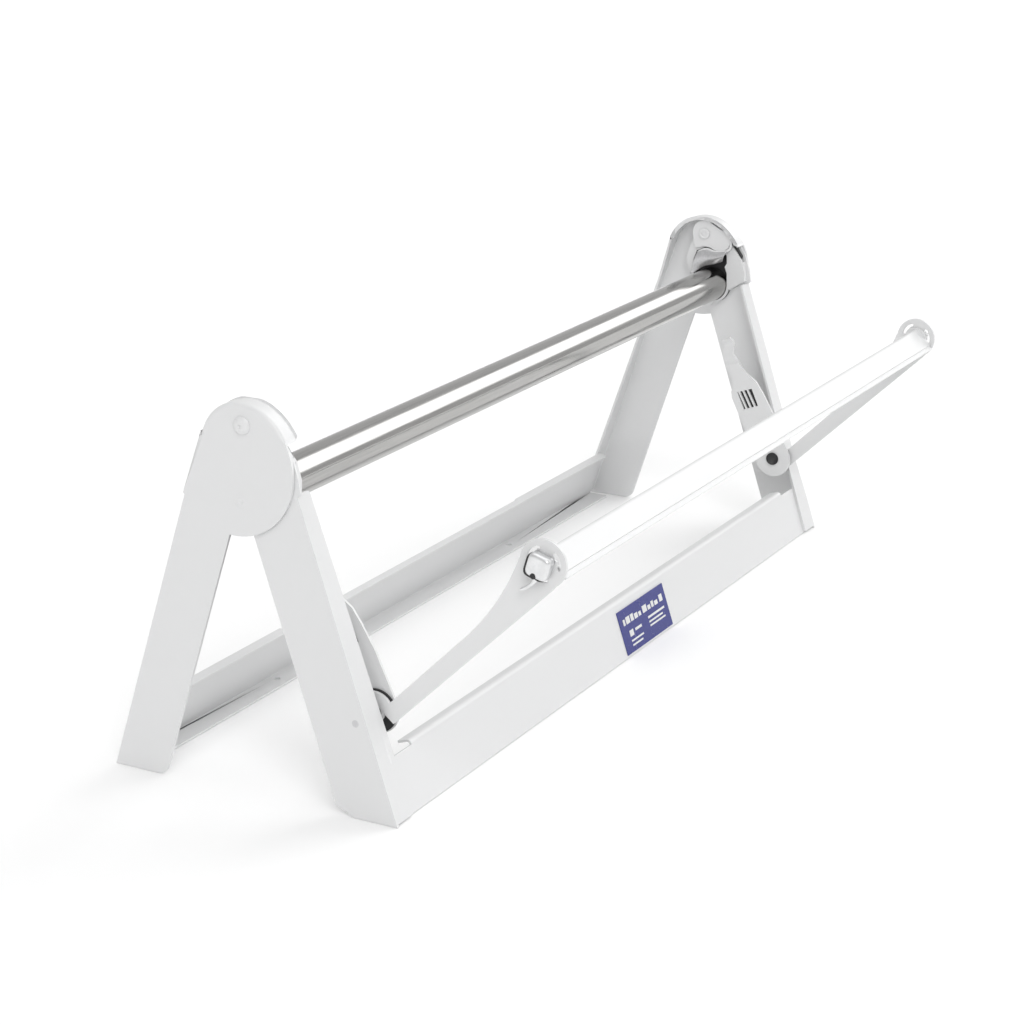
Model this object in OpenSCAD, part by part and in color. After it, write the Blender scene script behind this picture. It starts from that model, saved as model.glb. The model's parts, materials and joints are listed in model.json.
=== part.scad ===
// Folding A-frame drying rack with a round hanging rail and a swing-out lower rail.
// Origin: floor level, half way between the two bench screw holes of the rear rail.
// +X runs along the rails, -Y faces the front panel, +Z is up. Lengths are in mm.

/* [Frame] */
// Width over the outer faces of the rear legs
overall_w = 620; // [400:10:1000]
// Height of the fold pivot above the floor
pivot_z = 220.5; // [180:0.5:320]
// Lean of all four legs from the vertical, in degrees
leg_tilt = 18.3; // [10:0.1:25]
// Thickness of the leg sheet
sheet = 1.8; // [1.2:0.1:3]
// Free gap between pieces that turn against each other
gap = 0.3; // [0.2:0.05:0.6]

/* [Rear legs] */
// Distance from the pivot back to the rear leg's back face
rear_back = 24.5; // [20:0.5:35]
// Distance from the pivot forward to the rear leg's front edge
rear_front = 10; // [6:0.5:16]
// Radius of the round head
head_r = 39.5; // [34:0.5:50]
// Radius of the head's rear shoulder
shoulder_r = 28; // [20:0.5:32]
// Width of the back flange at the foot
rear_flange_low = 19; // [12:0.5:30]
// Width of the back flange at the head
rear_flange_high = 9; // [6:0.5:20]
// Width of the rim that caps the head
rim_w = 12.5; // [8:0.5:20]
// Corner radius of the feet
foot_r = 8; // [3:0.5:12]

/* [Front legs] */
// Distance from the pivot forward to the front leg's front face
front_front = 20.5; // [16:0.5:26]
// Distance from the pivot back to the front leg's back edge
front_back = 16; // [12:0.5:20]
// Width of the front flange at the foot
front_flange_low = 17.5; // [12:0.5:24]
// Width of the front flange at its top end
front_flange_high = 12.2; // [8:0.5:18]
// Height where the front flange ends
front_flange_top = 184; // [150:1:240]

/* [Hanging rail] */
// Outer diameter of the round rail
tube_d = 25; // [19:0.5:32]
// Wall of the round rail
tube_wall = 1.2; // [0.8:0.1:2.5]
// Running clearance of round bearings, on the radius
run_fit = 0.06; // [0.02:0.01:0.1]

/* [Swing frame] */
// Height of the arm pivot above the floor
arm_z = 57.5; // [45:0.5:80]
// Distance of the arm pivot behind the front face of the leg
arm_inset = 7; // [6:0.5:12]
// Length of an arm between its centres
arm_len = 150; // [110:1:200]
// Angle of the arms above the horizontal
arm_rise = 44.6; // [25:0.1:60]
// Radius of the disc that ends an arm
disc_r = 14; // [11:0.5:18]
// Radius of the arm's pivot end
arm_root_r = 12.2; // [9:0.1:15]
// Width of the slim part of an arm
arm_w = 12; // [8:0.5:16]
// Thickness of the arms and rails made of lighter sheet
light_sheet = 1.6; // [1:0.1:2.5]

/* [Rails and panel] */
// Height of the front panel, measured up its slope
panel_h = 39.5; // [25:0.5:60]
// Height of the rear rail, measured up its slope
rear_rail_h = 40; // [25:0.5:60]
// Depth of the rear rail's floor flange
floor_flange = 17; // [12:0.5:30]
// Distance between the two bench screw holes
screw_pitch = 310; // [200:1:560]
// Diameter of a bench screw hole
screw_d = 4.5; // [3.5:0.1:6.5]

/* [Hidden] */
// one node name, or all
// smoothness of round shapes
$fn = 64;
// a hair of overlap for clean cuts
eps = 0.01;
// overshoot of a cutting tool
over = 1;
// how much less than half the width the round ends of a curved slot are
end_step = 0.05;
// reach of cutting shapes that must pass the whole outline
far = 400;

// sine and cosine of the lean
st = sin(leg_tilt);
ct = cos(leg_tilt);
// half widths of the layers, from the outside in
x_out = overall_w / 2;
x_rear_in = x_out - sheet;
x_front_out = x_rear_in - gap;
x_front_in = x_front_out - sheet;
x_plate_out = x_front_in - 3;
x_plate_in = x_plate_out - light_sheet;
x_keep_out = x_plate_in - gap;
x_keep_in = x_keep_out - light_sheet;
x_rivet_in = x_keep_in - gap;
// pivot, and the points fixed to it, as [y, z]
pivot = [0, pivot_z];
head_c = pivot + [7, -25];
shoulder_c = head_c + (head_r - shoulder_r) * [-0.517, 0.856];
tube_c = pivot + [-5.5, -38.5];
stop_c = pivot + [2.5, -44];
stop_orbit = norm(stop_c - pivot);
stop_angle = atan2(stop_c[1] - pivot[1], stop_c[0] - pivot[0]);
// fold angle from open to closed
fold = 2 * leg_tilt;
// foot corners on the floor line
rear_foot_y = (pivot_z * st + rear_back) / ct;
rear_toe_y = (pivot_z * st - rear_front) / ct;
front_foot_y = -(pivot_z * st + front_front) / ct;
front_heel_y = -(pivot_z * st - front_back) / ct;
// rear shoulder tangent points
shoulder_top = shoulder_c + shoulder_r * (shoulder_c - head_c) / norm(shoulder_c - head_c);
shoulder_back = shoulder_c + shoulder_r * [ct, st];
// end of the head rim, as an angle round the head centre
rim_end_angle = 153.8;
// pivot rivet
rivet_r = 3;
rivet_head_r = 5.4;
rivet_head_h = 2.6;
rivet_tail_r = 4.2;
// stop pin
stop_r = 2.4;
stop_head_r = 4;
stop_slot_r = 2.7;
// rear rail
rail_end = x_out - 10;
rail_lip = 6;
screw_y = rear_foot_y - floor_flange / 2 - 1.5;
// front panel
panel_end = x_front_in - 2;
panel_tab = 34;
panel_lip = 9;
panel_bend_r = 3;
panel_tab_drop = 3.4;
panel_low = 1;
// label
label_w = 69;
label_h = 29.5;
label_t = 0.5;
label_x = 22.5;
label_s = 17.5;
// arm pivot and disc centre as [y, z]
arm_p = [front_foot_y + arm_z * st / ct + arm_inset / ct, arm_z];
arm_dir = 180 - arm_rise;
disc_c = arm_p + arm_len * [cos(arm_dir), sin(arm_dir)];
// thickness of the black disc beside the arm, and radius of its collar
spacer_t = 1.2;
spacer_collar_r = arm_inset - sheet - 0.4;
// layers of the arm pivot
x_arm_out = x_out - 21.9;
x_arm_in = x_arm_out - sheet;
x_spacer_out = x_arm_in - gap;
x_spacer_in = x_spacer_out - spacer_t;
x_latch_out = x_spacer_in - gap;
x_latch_in = x_latch_out - light_sheet;
x_cap_out = x_latch_in - gap;
x_cap_in = x_cap_out - 1;
x_ear_out = x_arm_in - gap;
x_ear_in = x_ear_out - light_sheet;
spacer_r = 13;
spacer_core_r = 3.6;
spacer_cap_r = 4.7;
stud_r = 2.2;
// eye that is left round the arm's pivot bore
arm_eye_r = 6.4;
// flare between the slim arm and its disc
arm_top = arm_root_r - arm_w + 1.8;
flare_u = 80 * arm_len / 150;
flare_d = arm_len - flare_u;
flare_r = (flare_d * flare_d + arm_top * arm_top - disc_r * disc_r) / (2 * (disc_r + arm_top));
flare_c = [flare_u, arm_top - flare_r];
flare_t = [arm_len, 0] + (disc_r - 1) * (flare_c - [arm_len, 0]) / norm(flare_c - [arm_len, 0]);
// bolt and wing nut on the disc
bolt_r = 2.5;
bolt_head_r = 3.2;
bolt_head_h = 2.4;
washer_s = 13;
washer_t = 1;
nut_r = 4.8;
nut_h = 4.6;
wing_r = 11;
wing_t = 2;
wing_turn = 38;
bolt_end = 1.2;
// swing rail section
face_e = 4;
face_lo = -10.7;
face_hi = 5.2;
rail_return = 6.5;
rail_low_lip = 3.2;
// hanging rail
tube_r = tube_d / 2;
liner_r = tube_r + 1.9;
liner_floor = 1;
tube_end = x_front_in - 0.1 - liner_floor - gap;

function leg_pt(v, w) = [pivot[0] - v * st + w * ct, pivot[1] - v * ct - w * st];
function up_pt(p, v, w) = [p[0] + v * st + w * ct, p[1] + v * ct - w * st];

// moves the drawing frame to the part's own origin
module place() {
  translate([0, -screw_y, 0]) children();
}
// extrudes a [y, z] outline along X
module yz(x0, x1) {
  translate([x0, 0, 0]) rotate([90, 0, 90]) linear_extrude(x1 - x0) children();
}
// both sides of a piece that is drawn on +X
module pair() {
  children();
  mirror([1, 0, 0]) children();
}
// a round rod along X at [y, z]
module rod(p, r, x0, x1) {
  translate([x0, p[0], p[1]]) rotate([0, 90, 0]) cylinder(r = r, h = x1 - x0);
}
// sheet that lies in the rear legs' back plane; children are [x, up the slope]
module back_sheet(depth, t) {
  translate([0, rear_foot_y, 0]) rotate([90 + leg_tilt, 0, 0])
    translate([0, 0, depth]) linear_extrude(t) children();
}
// sheet parallel to the front legs' front plane, depth measured inwards
module front_sheet(depth, t) {
  translate([0, front_foot_y, 0]) rotate([90 - leg_tilt, 0, 0])
    translate([0, 0, -depth - t]) linear_extrude(t) children();
}
// part of a ring between two angles
module arc_band(r0, r1, a0, a1) {
  mid = (a0 + a1) / 2;
  reach = r1 * 3;
  difference() {
    intersection() {
      circle(r = r1);
      polygon([[0, 0], reach * [cos(a0), sin(a0)], reach * [cos(mid), sin(mid)],
        reach * [cos(a1), sin(a1)]]);
    }
    circle(r = r0);
  }
}

// ---- rear frame ----
module rear_outline() {
  toe_c = [(rear_toe_y * ct + foot_r - foot_r * st) / ct, foot_r];
  union() {
    polygon([[rear_foot_y, 0], shoulder_back, shoulder_c, leg_at_front(pivot_z - 20),
      leg_at_front(foot_r * (1 - st) ), [toe_c[0], 0]]);
    translate(toe_c) circle(r = foot_r);
    translate(shoulder_c) circle(r = shoulder_r);
    intersection() {
      translate(head_c) circle(r = head_r);
      polygon([shoulder_c, shoulder_c + 3 * (shoulder_top - shoulder_c),
        [-far, pivot_z + 80], [-far, pivot_z - 110], [rear_foot_y - 110 * st / ct * 0.9, pivot_z - 110],
        shoulder_back]);
    }
  }
}
// point on the rear leg's front edge at height z
function leg_at_front(z) = [rear_toe_y - z * st / ct, z];

module rear_leg_right() {
  color([0.93, 0.94, 0.95]) place() {
    difference() {
      yz(x_rear_in, x_out) rear_outline();
      rod(pivot, rivet_r, x_rear_in - over, x_out + over);
      rod(stop_c, stop_r, x_rear_in - over, x_out + over);
      rod(stop_c, stop_head_r, x_out - 0.7, x_out + over);
    }
    back_sheet(0, sheet) polygon([[x_out, 3], [x_out - rear_flange_low, 3],
      [x_out - rear_flange_high, 0.83 * pivot_z / ct], [x_out - rim_w, shoulder_back[1] / ct],
      [x_out, shoulder_back[1] / ct]]);
    yz(x_out - rim_w, x_out) translate(shoulder_c)
      arc_band(shoulder_r - sheet, shoulder_r, leg_tilt - 0.5,
        atan2(shoulder_top[1] - shoulder_c[1], shoulder_top[0] - shoulder_c[0]) + 0.2);
    yz(x_out - rim_w, x_out) translate(head_c)
      arc_band(head_r - sheet, head_r,
        atan2(shoulder_top[1] - head_c[1], shoulder_top[0] - head_c[0]) - 0.2, rim_end_angle);
  }
}
module rear_leg_r() {
  rear_leg_right();
}
module rear_leg_l() {
  mirror([1, 0, 0]) rear_leg_right();
}

module rear_rail() {
  color([0.9, 0.91, 0.93]) place() difference() {
    union() {
      back_sheet(sheet, light_sheet) polygon([[-rail_end, light_sheet], [rail_end, light_sheet],
        [rail_end, rear_rail_h - 4], [rail_end - 4, rear_rail_h], [-rail_end + 4, rear_rail_h],
        [-rail_end, rear_rail_h - 4]]);
      back_sheet(sheet, rail_lip) translate([-rail_end + 4, rear_rail_h - light_sheet])
        square([2 * rail_end - 8, light_sheet]);
      translate([-rail_end, rear_foot_y - floor_flange - sheet, 0])
        cube([2 * rail_end, floor_flange, light_sheet]);
    }
    for (s = [-1, 1])
      translate([s * screw_pitch / 2, screw_y, -over]) cylinder(d = screw_d, h = light_sheet + 2 * over);
  }
}

module pivot_rivets() {
  color([0.86, 0.87, 0.88]) place() pair() {
    translate([x_out, pivot[0], pivot[1]]) rotate([0, 90, 0]) rotate_extrude() rivet_profile();
  }
}
// half section of the pivot rivet: domed head with a centre dimple, shank, rolled tail
module rivet_profile() {
  low = x_rivet_in - x_out;
  polygon([[0, low - 0.3], [rivet_r - 1, low - 0.3], [rivet_r - 1, low - 0.8], [rivet_r - 0.6, low - 1],
    [rivet_tail_r - 0.4, low - 1], [rivet_tail_r, low - 0.6], [rivet_tail_r, low], [rivet_r, low],
    [rivet_r, 0], [rivet_head_r, 0], [rivet_head_r - 0.1, 0.7], [rivet_head_r - 0.7, 1.4],
    [rivet_head_r - 1.7, 2.05], [rivet_head_r - 2.9, 2.45], [rivet_head_r - 3.9, rivet_head_h],
    [1.2, rivet_head_h - 0.05], [0.6, rivet_head_h - 0.5], [0, rivet_head_h - 0.65]]);
}

module stop_pins() {
  color([0.86, 0.87, 0.88]) place() pair() difference() {
    union() {
      rod(stop_c, stop_r, x_front_in + 0.2, x_out - 0.6);
      rod(stop_c, stop_head_r, x_out - 0.7, x_out - 0.1);
    }
    translate([x_out + 2.9, stop_c[0], stop_c[1]]) sphere(r = 3.4);
  }
}

// ---- front frame ----
module front_outline() {
  heel_c = [(front_heel_y * ct - foot_r - foot_r * st) / ct, foot_r];
  union() {
    polygon([[front_foot_y, 0], [heel_c[0], 0],
        leg_pt((pivot_z - foot_r + foot_r * st - front_back * st) / ct, front_back),
        leg_pt(60, front_back), leg_pt(50, rear_back - 3.1), leg_pt(15, rear_back - 3.1),
        leg_pt(8, 17.5), leg_pt(0, 10), pivot, pivot + [-11, 6.5], pivot + [-18.5, -0.5],
        pivot + [-25.8, -7], pivot + [-30.8, -14.5], pivot + [-34.4, -26],
        pivot + [-35.9, front_flange_top - pivot_z + 1.5],
        [front_foot_y + front_flange_top * st / ct, front_flange_top]]);
    translate(heel_c) circle(r = foot_r);
    translate(pivot) circle(r = 10.2);
  }
}
module stop_slot() {
  translate(pivot) {
    arc_band(stop_orbit - stop_slot_r, stop_orbit + stop_slot_r, stop_angle - fold - 0.4, stop_angle + 0.4);
    for (a = [stop_angle - fold - 0.4, stop_angle + 0.4])
      translate(stop_orbit * [cos(a), sin(a)]) circle(r = stop_slot_r - end_step);
  }
}
// flush buttons: places on the web as [y, z], and on the flange as [inset, up the slope]
web_buttons = [pivot + [-21.4, -83.6], pivot + [-33.9, -67.3], [front_foot_y + 22.2, 24.8]];
flange_buttons = [[10, 32], [9, 19]];
button_r = 3;

module front_leg_right() {
  color([0.95, 0.96, 0.97]) place() difference() {
    union() {
      yz(x_front_in, x_front_out) front_outline();
      front_sheet(0, sheet) polygon([[x_front_out, 1.5], [x_front_out, front_flange_top / ct],
        [x_front_out - front_flange_high, front_flange_top / ct + 1.2],
        [x_front_out - front_flange_low, 2.5], [x_front_out - front_flange_low + 1, 1.5]]);
    }
    yz(x_front_in - over, x_front_out + over) stop_slot();
    rod(pivot, rivet_r + run_fit, x_front_in - over, x_front_out + over);
    rod(arm_p, stud_r, x_front_in - over, x_front_out + over);
    for (p = web_buttons) rod(p, button_r, x_front_in - over, x_front_out + over);
    front_sheet(-over, sheet + 2 * over)
      for (b = flange_buttons) translate([x_front_out - b[0], b[1]]) circle(r = button_r * 0.85);
  }
}
module front_leg_r() {
  front_leg_right();
}
module front_leg_l() {
  mirror([1, 0, 0]) front_leg_right();
}

module flush_rivets() {
  color([0.93, 0.94, 0.95]) place() pair() {
    for (p = web_buttons) rod(p, button_r, x_front_in, x_front_out);
    front_sheet(0, sheet)
      for (b = flange_buttons) translate([x_front_out - b[0], b[1]]) circle(r = button_r * 0.85);
  }
}

module front_panel() {
  tab_top = panel_h - panel_tab_drop;
  fold_s = panel_h - panel_bend_r;
  color([0.95, 0.96, 0.97]) place() {
    front_sheet(sheet, light_sheet) union() {
      translate([-panel_end, panel_low]) square([2 * panel_end, tab_top - 3 - panel_low]);
      translate([-panel_end + 3, tab_top - 4]) square([2 * panel_end - 6, 4]);
      for (s = [-1, 1]) translate([s * (panel_end - 3), tab_top - 3]) circle(r = 3);
      translate([-panel_end + panel_tab, panel_low])
        square([2 * (panel_end - panel_tab), fold_s - panel_low]);
    }
    translate([0, front_foot_y, 0]) rotate([90 - leg_tilt, 0, 0])
      translate([panel_tab - panel_end, fold_s, -sheet - panel_bend_r])
        rotate([0, 90, 0]) linear_extrude(2 * (panel_end - panel_tab))
          intersection() {
            difference() {
              circle(r = panel_bend_r);
              circle(r = panel_bend_r - light_sheet);
            }
            translate([-panel_bend_r - over, 0]) square([panel_bend_r + over, panel_bend_r + over]);
          }
    front_sheet(sheet + panel_bend_r - eps, panel_lip - panel_bend_r)
      translate([-panel_end + panel_tab, panel_h - light_sheet])
        square([2 * (panel_end - panel_tab), light_sheet]);
  }
}

module label_plate() {
  color([0.1, 0.13, 0.42]) place() front_sheet(sheet - label_t, label_t)
    translate([label_x - label_w / 2, label_s - label_h / 2]) square([label_w, label_h]);
}

// cut-out of the bearing plate above and round the rail
module bearing_opening() {
  union() {
    translate(tube_c) circle(r = tube_r + 0.35);
    polygon([tube_c + [-tube_r - 0.35, 0], tube_c + [-tube_r - 0.2, 9], tube_c + [-tube_r + 1.6, 14],
      tube_c + [-tube_r - 0.1, 17], tube_c + [-tube_r + 0.2, 23], tube_c + [-6.5, 26.2],
      tube_c + [5.5, 27.8], tube_c + [12.5, 24.5], tube_c + [15, 17.5], tube_c + [14.6, 8],
      tube_c + [tube_r + 0.35, 0]]);
  }
}
// lower edge of the bearing plate where it runs round under the rail
bearing_hem = [for (a = [192 : 14.4 : 264]) tube_c + (tube_r + 2.1) * [cos(a), sin(a)]];
module bearing_outline() {
  union() {
    polygon(concat([pivot + [-32.6, -34.2]], bearing_hem, [leg_pt(54, 12),
      leg_pt(48, rear_back - 3.1), leg_pt(15, rear_back - 3.1), leg_pt(6, 15), leg_pt(0, 9), pivot,
      pivot + [-10.5, 6], pivot + [-17.6, -2.2], pivot + [-24.2, -10.5], pivot + [-30, -18.5],
      pivot + [-32.8, -28.5]]));
    translate(pivot) circle(r = 9.6);
  }
}
// bent edge that stands the bearing plate off the leg
module bearing_skirt() {
  polygon([pivot + [-32.6, -34.2], tube_c + [-tube_r - 1.8, -4], tube_c + [-tube_r - 1.8, -1.4],
    pivot + [-31.2, -32.4], pivot + [-31.4, -28.6], pivot + [-29.3, -20.5], pivot + [-30.6, -19.6],
    pivot + [-32.8, -28.5]]);
}
module bearing_plate_right() {
  color([0.93, 0.94, 0.95]) place() {
    difference() {
      yz(x_plate_in, x_plate_out) difference() {
        bearing_outline();
        bearing_opening();
      }
      rod(pivot, rivet_r + run_fit, x_plate_in - over, x_plate_out + over);
    }
    difference() {
      yz(x_plate_out - eps, x_front_in) bearing_skirt();
      rod(tube_c, liner_r + 0.3, x_plate_out - over, x_front_in + over);
    }
  }
}
module bearing_plate_r() {
  bearing_plate_right();
}
module bearing_plate_l() {
  mirror([1, 0, 0]) bearing_plate_right();
}

// block of the liner that fills the leg's front edge above the rail
module liner_nose() {
  polygon([pivot + [-13.5, -13.5], pivot + [-20.5, -5.6], pivot + [-25.2, -9.4], pivot + [-29.4, -15.6],
    pivot + [-28.6, -18.6], pivot + [-18, -19.5]]);
}
module liner_outline() {
  polygon([tube_c + [-liner_r, 0], tube_c + [-liner_r, 24], tube_c + [-6, 27], tube_c + [7, 28.5],
    tube_c + [13.4, 26], tube_c + [liner_r, 0]]);
}
module rail_liner_right() {
  channel_r = tube_r + run_fit;
  color([0.06, 0.06, 0.065]) place() difference() {
    union() {
      rod(tube_c, liner_r + 0.2, x_plate_out, x_front_in);
      yz(x_plate_out, x_front_in) liner_outline();
      yz(x_plate_out, x_front_in) liner_nose();
    }
    yz(x_plate_out - over, x_front_in - liner_floor) union() {
      translate(tube_c) circle(r = channel_r);
      translate(tube_c + [-channel_r, 0]) square([2 * channel_r, 23]);
    }
  }
}
module rail_liner_r() {
  rail_liner_right();
}
module rail_liner_l() {
  mirror([1, 0, 0]) rail_liner_right();
}

// ---- hanging rail and keepers ----
module hanging_rail() {
  color([0.62, 0.62, 0.6]) place() difference() {
    rod(tube_c, tube_r, -tube_end, tube_end);
    rod(tube_c, tube_r - tube_wall, -tube_end - over, tube_end + over);
  }
}
module rail_plugs() {
  plug_in = tube_end - 12;
  color([0.08, 0.08, 0.085]) place() pair() difference() {
    rod(tube_c, tube_r - tube_wall, plug_in, tube_end - 0.2);
    rod(tube_c, tube_r - tube_wall - 2, plug_in - over, tube_end - 2);
  }
}

module keeper_outline() {
  lobe = pivot + [-13.2, -4.4];
  union() {
    translate(pivot) circle(r = 10);
    translate(lobe) circle(r = 8);
    polygon([pivot + [-3.2, 9.3], pivot + [-14.6, 3.4], lobe, pivot + [-13, -13],
      pivot + [-8, -12], pivot + [-3.9, -10.1], pivot + [0, -9.7], pivot + [3.4, -10.6],
      pivot + [7, -11.6], pivot + [9.2, -7], pivot + [9.2, -2]]);
  }
}
module keeper_right() {
  color([0.92, 0.93, 0.94]) place() difference() {
    yz(x_keep_in, x_keep_out) keeper_outline();
    rod(pivot, rivet_r + run_fit, x_keep_in - over, x_keep_out + over);
  }
}
module keeper_r() {
  keeper_right();
}
module keeper_l() {
  mirror([1, 0, 0]) keeper_right();
}

// ---- swing frame ----
module arm_studs() {
  color([0.5, 0.5, 0.52]) place() pair() rod(arm_p, stud_r, x_cap_out, x_front_out);
}
module pivot_spacer_right() {
  color([0.05, 0.05, 0.055]) place() difference() {
    union() {
      rod(arm_p, spacer_core_r, x_cap_out, x_front_in);
      rod(arm_p, spacer_r, x_spacer_in, x_spacer_out);
      rod(arm_p, spacer_collar_r, x_arm_out + gap, x_front_in);
      difference() {
        rod(arm_p, spacer_cap_r, x_cap_in, x_cap_out + eps);
        translate([x_cap_in - over, arm_p[0] - spacer_cap_r * 2, arm_p[1] - spacer_cap_r * 1.6])
          cube([2 * over, spacer_cap_r * 1.2, spacer_cap_r * 3]);
      }
    }
    rod(arm_p, stud_r, x_cap_out, x_front_in + over);
  }
}
module pivot_spacer_r() {
  pivot_spacer_right();
}
module pivot_spacer_l() {
  mirror([1, 0, 0]) pivot_spacer_right();
}

// latch lever: outline in [y, z], window with slanted louvres, bent thumb tab
latch_bend = 77;
latch_tab = 20;
latch_tab_angle = 28;
module latch_outline() {
  p = arm_p;
  union() {
    translate(p) circle(r = disc_r - 0.2);
    polygon([up_pt(p, 2, -13.6), up_pt(p, 33, -10.2), up_pt(p, 50, -6.4), up_pt(p, 60, -3.4),
      up_pt(p, 64.5, -0.2), up_pt(p, 68, 2.6), up_pt(p, 72, 4.8), up_pt(p, latch_bend, 5.8),
      up_pt(p, latch_bend, 17.4), up_pt(p, 72, 16.4), up_pt(p, 64, 15.4), up_pt(p, 59.5, 16.6),
      up_pt(p, 56.5, 18.6), up_pt(p, 52, 19.6), up_pt(p, 40, 18), up_pt(p, 24, 15.8), up_pt(p, 0, 13.8)]);
  }
}
module latch_window() {
  p = arm_p;
  polygon([up_pt(p, 41.6, 0.2), up_pt(p, 55.4, 1.6), up_pt(p, 55, 14), up_pt(p, 41.2, 12.4)]);
}
module latch_louvres() {
  p = arm_p;
  for (k = [0 : 2])
    polygon([up_pt(p, 41.2, 2.2 + k * 3.6), up_pt(p, 55.2, 4.6 + k * 3.6),
      up_pt(p, 55.2, 6 + k * 3.6), up_pt(p, 41.2, 3.6 + k * 3.6)]);
}
module latch_right() {
  tab_c = up_pt(arm_p, latch_bend, 11.6);
  color([0.92, 0.93, 0.94]) place() {
    difference() {
      yz(x_latch_in, x_latch_out) union() {
        difference() {
          latch_outline();
          latch_window();
        }
        latch_louvres();
      }
      rod(arm_p, spacer_core_r + run_fit, x_latch_in - over, x_latch_out + over);
    }
    translate([x_latch_in, tab_c[0], tab_c[1]]) rotate([-leg_tilt, 0, 0])
      rotate([0, -latch_tab_angle, 0]) translate([0, 0, -0.6]) rotate([90, 0, 90])
        linear_extrude(light_sheet) polygon([[-5.8, 0], [5.8, 0], [4.6, latch_tab - 3],
          [2.6, latch_tab], [-4.2, latch_tab], [-6, latch_tab - 2.4]]);
  }
}
module latch_r() {
  latch_right();
}
module latch_l() {
  mirror([1, 0, 0]) latch_right();
}

// slim body of an arm, drawn with the pivot at the origin and the disc along +x
module arm_body() {
  polygon([[-1, arm_root_r - 0.7], [6, arm_root_r + 0.15], [arm_len - 6, disc_r],
    [arm_len + 1, disc_r - 0.8], flare_t, [flare_u, arm_top], [0, arm_top]]);
}
// corner taken off the pivot end, leaving an eye round the bore
module arm_notch() {
  difference() {
    polygon([[5.6, arm_root_r + over], [4.4, 2.6], [-arm_root_r - over, 2.6],
      [-arm_root_r - over, arm_root_r + over]]);
    circle(r = arm_eye_r);
  }
}
// one curved slot of the disc
slot_mid = 9.4;
slot_half = 1.1;
slot_sweep = 52;
module disc_slot(a) {
  arc_band(slot_mid - slot_half, slot_mid + slot_half, a - slot_sweep / 2, a + slot_sweep / 2);
  for (e = [-1, 1])
    translate(slot_mid * [cos(a + e * slot_sweep / 2), sin(a + e * slot_sweep / 2)])
      circle(r = slot_half - end_step);
}
module swing_arm_right() {
  color([0.94, 0.95, 0.96]) place() difference() {
    union() {
      rod(arm_p, arm_root_r, x_arm_in, x_arm_out);
      rod(disc_c, disc_r, x_arm_in, x_arm_out);
      difference() {
        yz(x_arm_in, x_arm_out) translate(arm_p) rotate(arm_dir) arm_body();
        yz(x_arm_in - over, x_arm_out + over) translate(arm_p) rotate(arm_dir)
          translate(flare_c) circle(r = flare_r + 0.1, $fn = 180);
      }
    }
    yz(x_arm_in - over, x_arm_out + over) translate(disc_c) rotate(arm_dir)
      for (a = [30, 150, 270]) disc_slot(a);
    yz(x_arm_in - over, x_arm_out + over) translate(arm_p) rotate(arm_dir) arm_notch();
    rod(arm_p, spacer_core_r + run_fit, x_arm_in - over, x_arm_out + over);
    rod(disc_c, bolt_r, x_arm_in - over, x_arm_out + over);
  }
}
module swing_arm_r() {
  swing_arm_right();
}
module swing_arm_l() {
  mirror([1, 0, 0]) swing_arm_right();
}

module disc_washers() {
  color([0.75, 0.76, 0.78]) place() pair() difference() {
    yz(x_arm_out, x_arm_out + washer_t) translate(disc_c) rotate(arm_dir - 20)
      square([washer_s, washer_s], center = true);
    rod(disc_c, bolt_r, x_arm_out - over, x_arm_out + washer_t + over);
  }
}
module disc_bolts() {
  color([0.72, 0.73, 0.75]) place() pair() {
    rod(disc_c, bolt_r, x_ear_in - gap, x_arm_out + washer_t + gap + nut_h + bolt_end);
    rod(disc_c, bolt_head_r, x_ear_in - gap - bolt_head_h, x_ear_in - gap);
  }
}

// wing nut, hub and two wings on the X axis
module wing_nut_right() {
  x0 = x_arm_out + washer_t + gap;
  color([0.82, 0.83, 0.85]) place() translate([x0, disc_c[0], disc_c[1]]) difference() {
    union() {
      rotate([0, 90, 0]) cylinder(r = nut_r + 0.6, h = 1.4);
      rotate([0, 90, 0]) cylinder(r = nut_r, h = nut_h);
      rotate([wing_turn, 0, 0]) {
        wing();
        mirror([0, 0, 1]) wing();
      }
    }
    translate([-over, 0, 0]) rotate([0, 90, 0]) cylinder(r = bolt_r + run_fit, h = nut_h + 2 * over);
  }
}
module wing() {
  translate([0, wing_t / 2, 0]) rotate([90, 0, 0]) linear_extrude(wing_t)
    union() {
      polygon([[0.8, 3], [nut_h, 3], [nut_h + 1.6, wing_r - 5], [nut_h + 1.6, wing_r - 3],
        [nut_h - 0.8, wing_r - 0.3], [2.6, wing_r - 3.4], [0.8, 5.2]]);
      translate([nut_h - 1.2, wing_r - 2.8]) circle(r = 2.8);
    }
}
module wing_nut_r() {
  wing_nut_right();
}
module wing_nut_l() {
  mirror([1, 0, 0]) wing_nut_right();
}

// swing rail section, drawn with the disc centre at the origin; x runs outwards, y to the low edge
module swing_section() {
  union() {
    translate([face_e, -face_hi]) square([light_sheet, face_hi - face_lo]);
    translate([face_e - rail_return, -face_hi]) square([rail_return + eps, light_sheet]);
    translate([face_e - 0.9, -face_lo - 0.6]) square([light_sheet, rail_low_lip + 0.6]);
  }
}
module ear_outline() {
  union() {
    circle(r = 8);
    translate([0, -face_hi]) square([face_e + light_sheet, face_hi - face_lo - 2]);
    translate([-3, -face_hi]) square([4, face_hi]);
  }
}
module swing_rail() {
  color([0.95, 0.96, 0.97]) place() difference() {
    union() {
      yz(-x_ear_out, x_ear_out) translate(disc_c) rotate(arm_dir) swing_section();
      pair() yz(x_ear_in, x_ear_out) translate(disc_c) rotate(arm_dir) ear_outline();
    }
    pair() rod(disc_c, bolt_r + run_fit, x_ear_in - over, x_ear_out + over);
  }
}

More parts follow.
